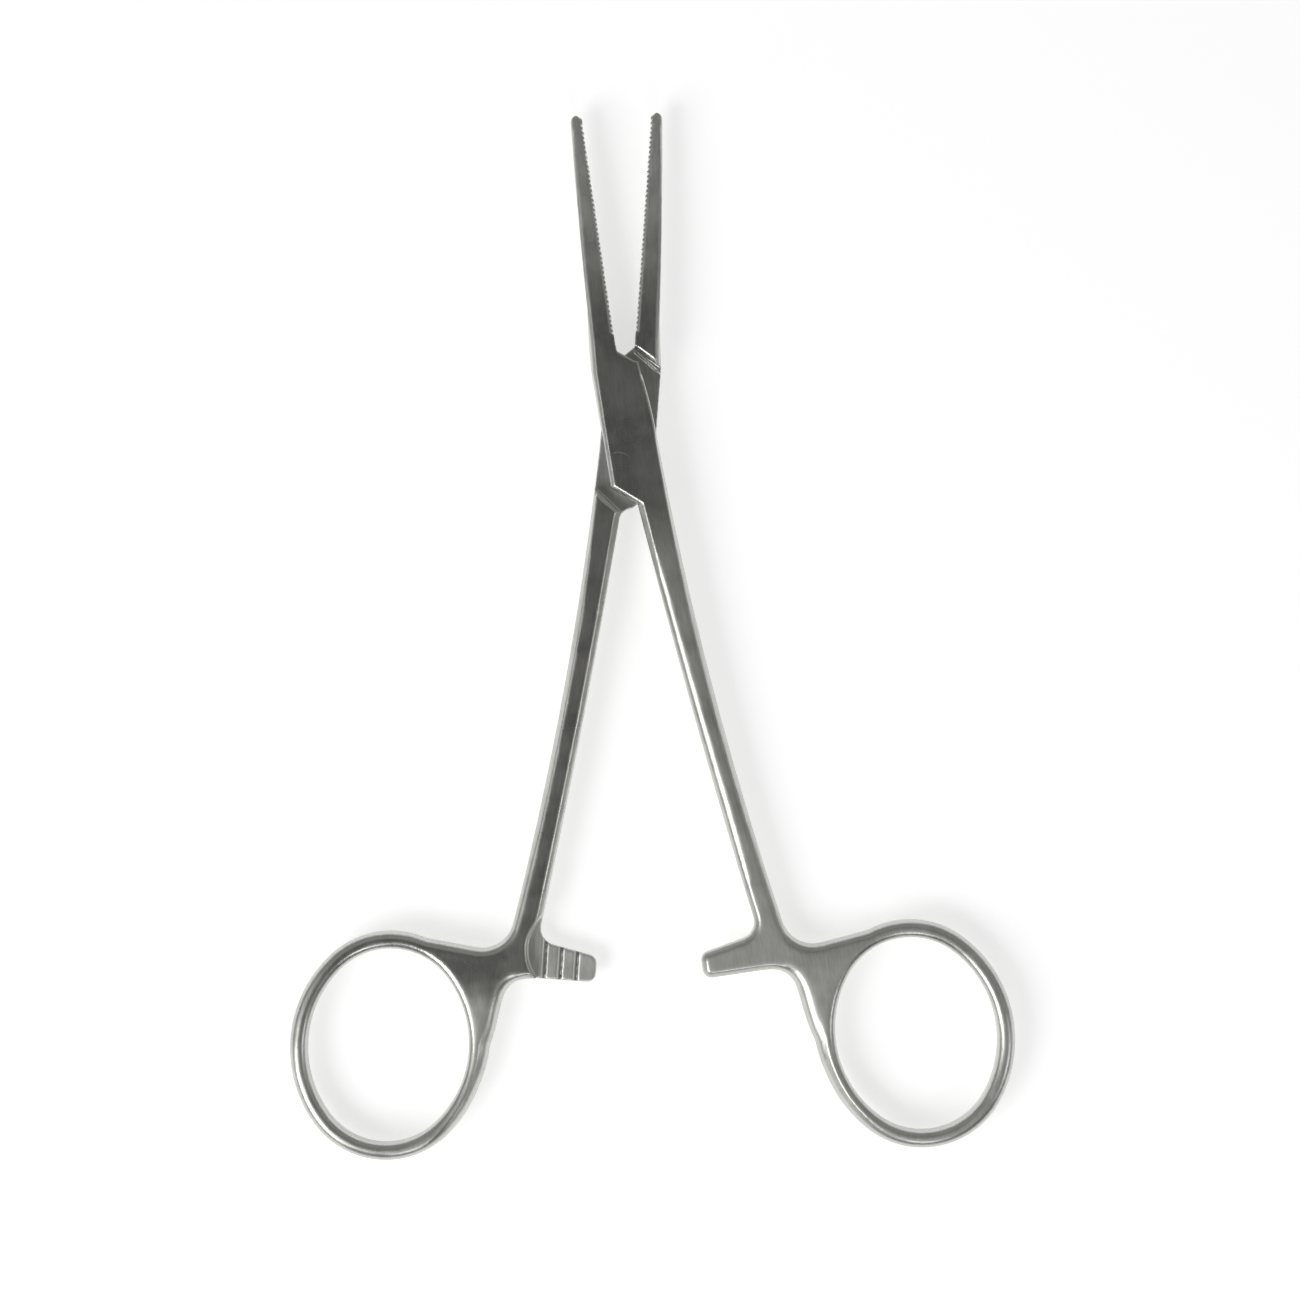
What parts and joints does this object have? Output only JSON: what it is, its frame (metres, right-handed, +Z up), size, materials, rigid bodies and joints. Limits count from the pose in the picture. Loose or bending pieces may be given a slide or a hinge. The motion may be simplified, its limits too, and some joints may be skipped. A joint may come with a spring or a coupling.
{
  "type": "hemostat forceps",
  "caption": "Straight hemostat forceps with a box lock, serrated jaws, finger rings and a ratchet catch, for clamping blood vessels.",
  "frame": {"origin": "on the pivot's axis, at the underside of the box", "axes": "+Y towards the tips of the jaws, along the line that halves the opening; +X towards the finger ring of the half that carries the box; +Z up, along the pivot"},
  "size_m": [0.0949, 0.1367, 0.0056],
  "materials": {
    "satin_steel": "satin",
    "pin_steel": "satin"
  },
  "bodies": {
    "box_side": {"box_half": "satin_steel", "pivot_pin": "pin_steel"},
    "tongue_side": {"tongue_half": "satin_steel"}
  },
  "joints": [
    {"name": "pivot", "type": "hinge", "parent": "box_side", "child": "tongue_side", "pos_m": [0, 0, 0], "axis": [0, 0, 1], "range_deg": [-47.6, 12.2]}
  ]
}
